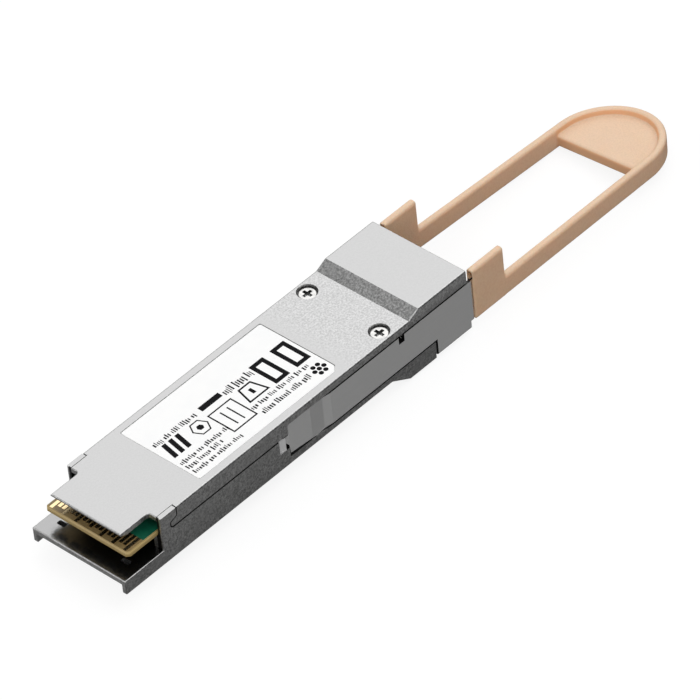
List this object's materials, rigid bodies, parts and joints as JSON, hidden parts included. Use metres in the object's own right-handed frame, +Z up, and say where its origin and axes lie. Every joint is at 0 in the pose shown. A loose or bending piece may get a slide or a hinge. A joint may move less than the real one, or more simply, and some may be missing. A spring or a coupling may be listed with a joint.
{
  "type": "pluggable optical transceiver module",
  "caption": "Slim metal pluggable transceiver with an edge-card front, a multi-fibre port at the rear and a soft looped pull tab on a sprung release slider.",
  "frame": {"origin": "bottom centre of the whole object's bounding box, pull tab included", "axes": "+X runs from the card-edge front to the pull tab's end, +Z is up towards the labelled cover, +Y completes the right-handed frame"},
  "size_m": [0.1222, 0.0184, 0.0115],
  "materials": {
    "zinc_nickel_shell": "fine-grained satin nickel plate over die-cast zinc",
    "zinc_nickel_cover": "fine-grained satin nickel plate over die-cast zinc",
    "label_film": "matt white polyester label film",
    "stainless_sheet": "smooth stamped stainless sheet",
    "beige_elastomer": "soft matt beige moulding",
    "spring_steel": "bright drawn spring wire",
    "screw_steel": "bright nickel-plated steel",
    "board_laminate": "green solder mask over glass epoxy",
    "gold_contacts": "hard gold plate",
    "black_package": "black moulding compound",
    "ceramic_parts": "tan ceramic with tinned ends",
    "ferrite": "dark grey ferrite",
    "semiconductor": "polished die",
    "ceramic_carrier": "white ceramic",
    "clear_polymer": "clear amber moulded optics",
    "ribbon_jacket": "aqua fibre ribbon",
    "ferrule_polymer": "glass-filled dark polymer",
    "pin_steel": "ground stainless pin",
    "port_polymer": "black moulded port",
    "shield_foam": "conductive elastomer",
    "thermal_gel": "soft blue-grey thermal pad"
  },
  "bodies": {
    "module": {"bottom_housing": "zinc_nickel_shell", "top_cover": "zinc_nickel_cover", "product_label": "label_film", "cover_screws": "screw_steel", "return_spring_left": "spring_steel", "return_spring_right": "spring_steel", "main_board": "board_laminate", "edge_contacts_top": "gold_contacts", "edge_contacts_bottom": "gold_contacts", "transmit_retimer": "black_package", "receive_retimer": "black_package", "microcontroller": "black_package", "memory_chip": "black_package", "power_regulator": "black_package", "power_inductors": "ferrite", "decoupling_capacitors": "ceramic_parts", "board_resistors": "ceramic_parts", "engine_carrier": "ceramic_carrier", "laser_driver": "semiconductor", "receiver_amplifier": "semiconductor", "vcsel_array": "semiconductor", "photodiode_array": "semiconductor", "lens_block": "clear_polymer", "fibre_ribbon": "ribbon_jacket", "mt_ferrule": "ferrule_polymer", "guide_pins": "pin_steel", "pin_clamp": "stainless_sheet", "ferrule_bracket": "stainless_sheet", "mpo_receptacle": "port_polymer", "shield_plate": "stainless_sheet", "nose_gasket": "shield_foam", "seam_gasket_left": "shield_foam", "seam_gasket_right": "shield_foam", "chip_thermal_pad": "thermal_gel", "floor_thermal_pad": "thermal_gel", "engine_thermal_pad": "thermal_gel"},
    "release": {"release_slider": "stainless_sheet", "pull_tab": "beige_elastomer"}
  },
  "joints": [
    {"name": "release_slide", "type": "slide", "parent": "module", "child": "release", "axis": [1, 0, 0], "range_m": [0, 0.002], "stiffness_N_per_m": 1000, "springref_m": -0.0015, "deforming": ["return_spring_left", "return_spring_right"]}
  ]
}
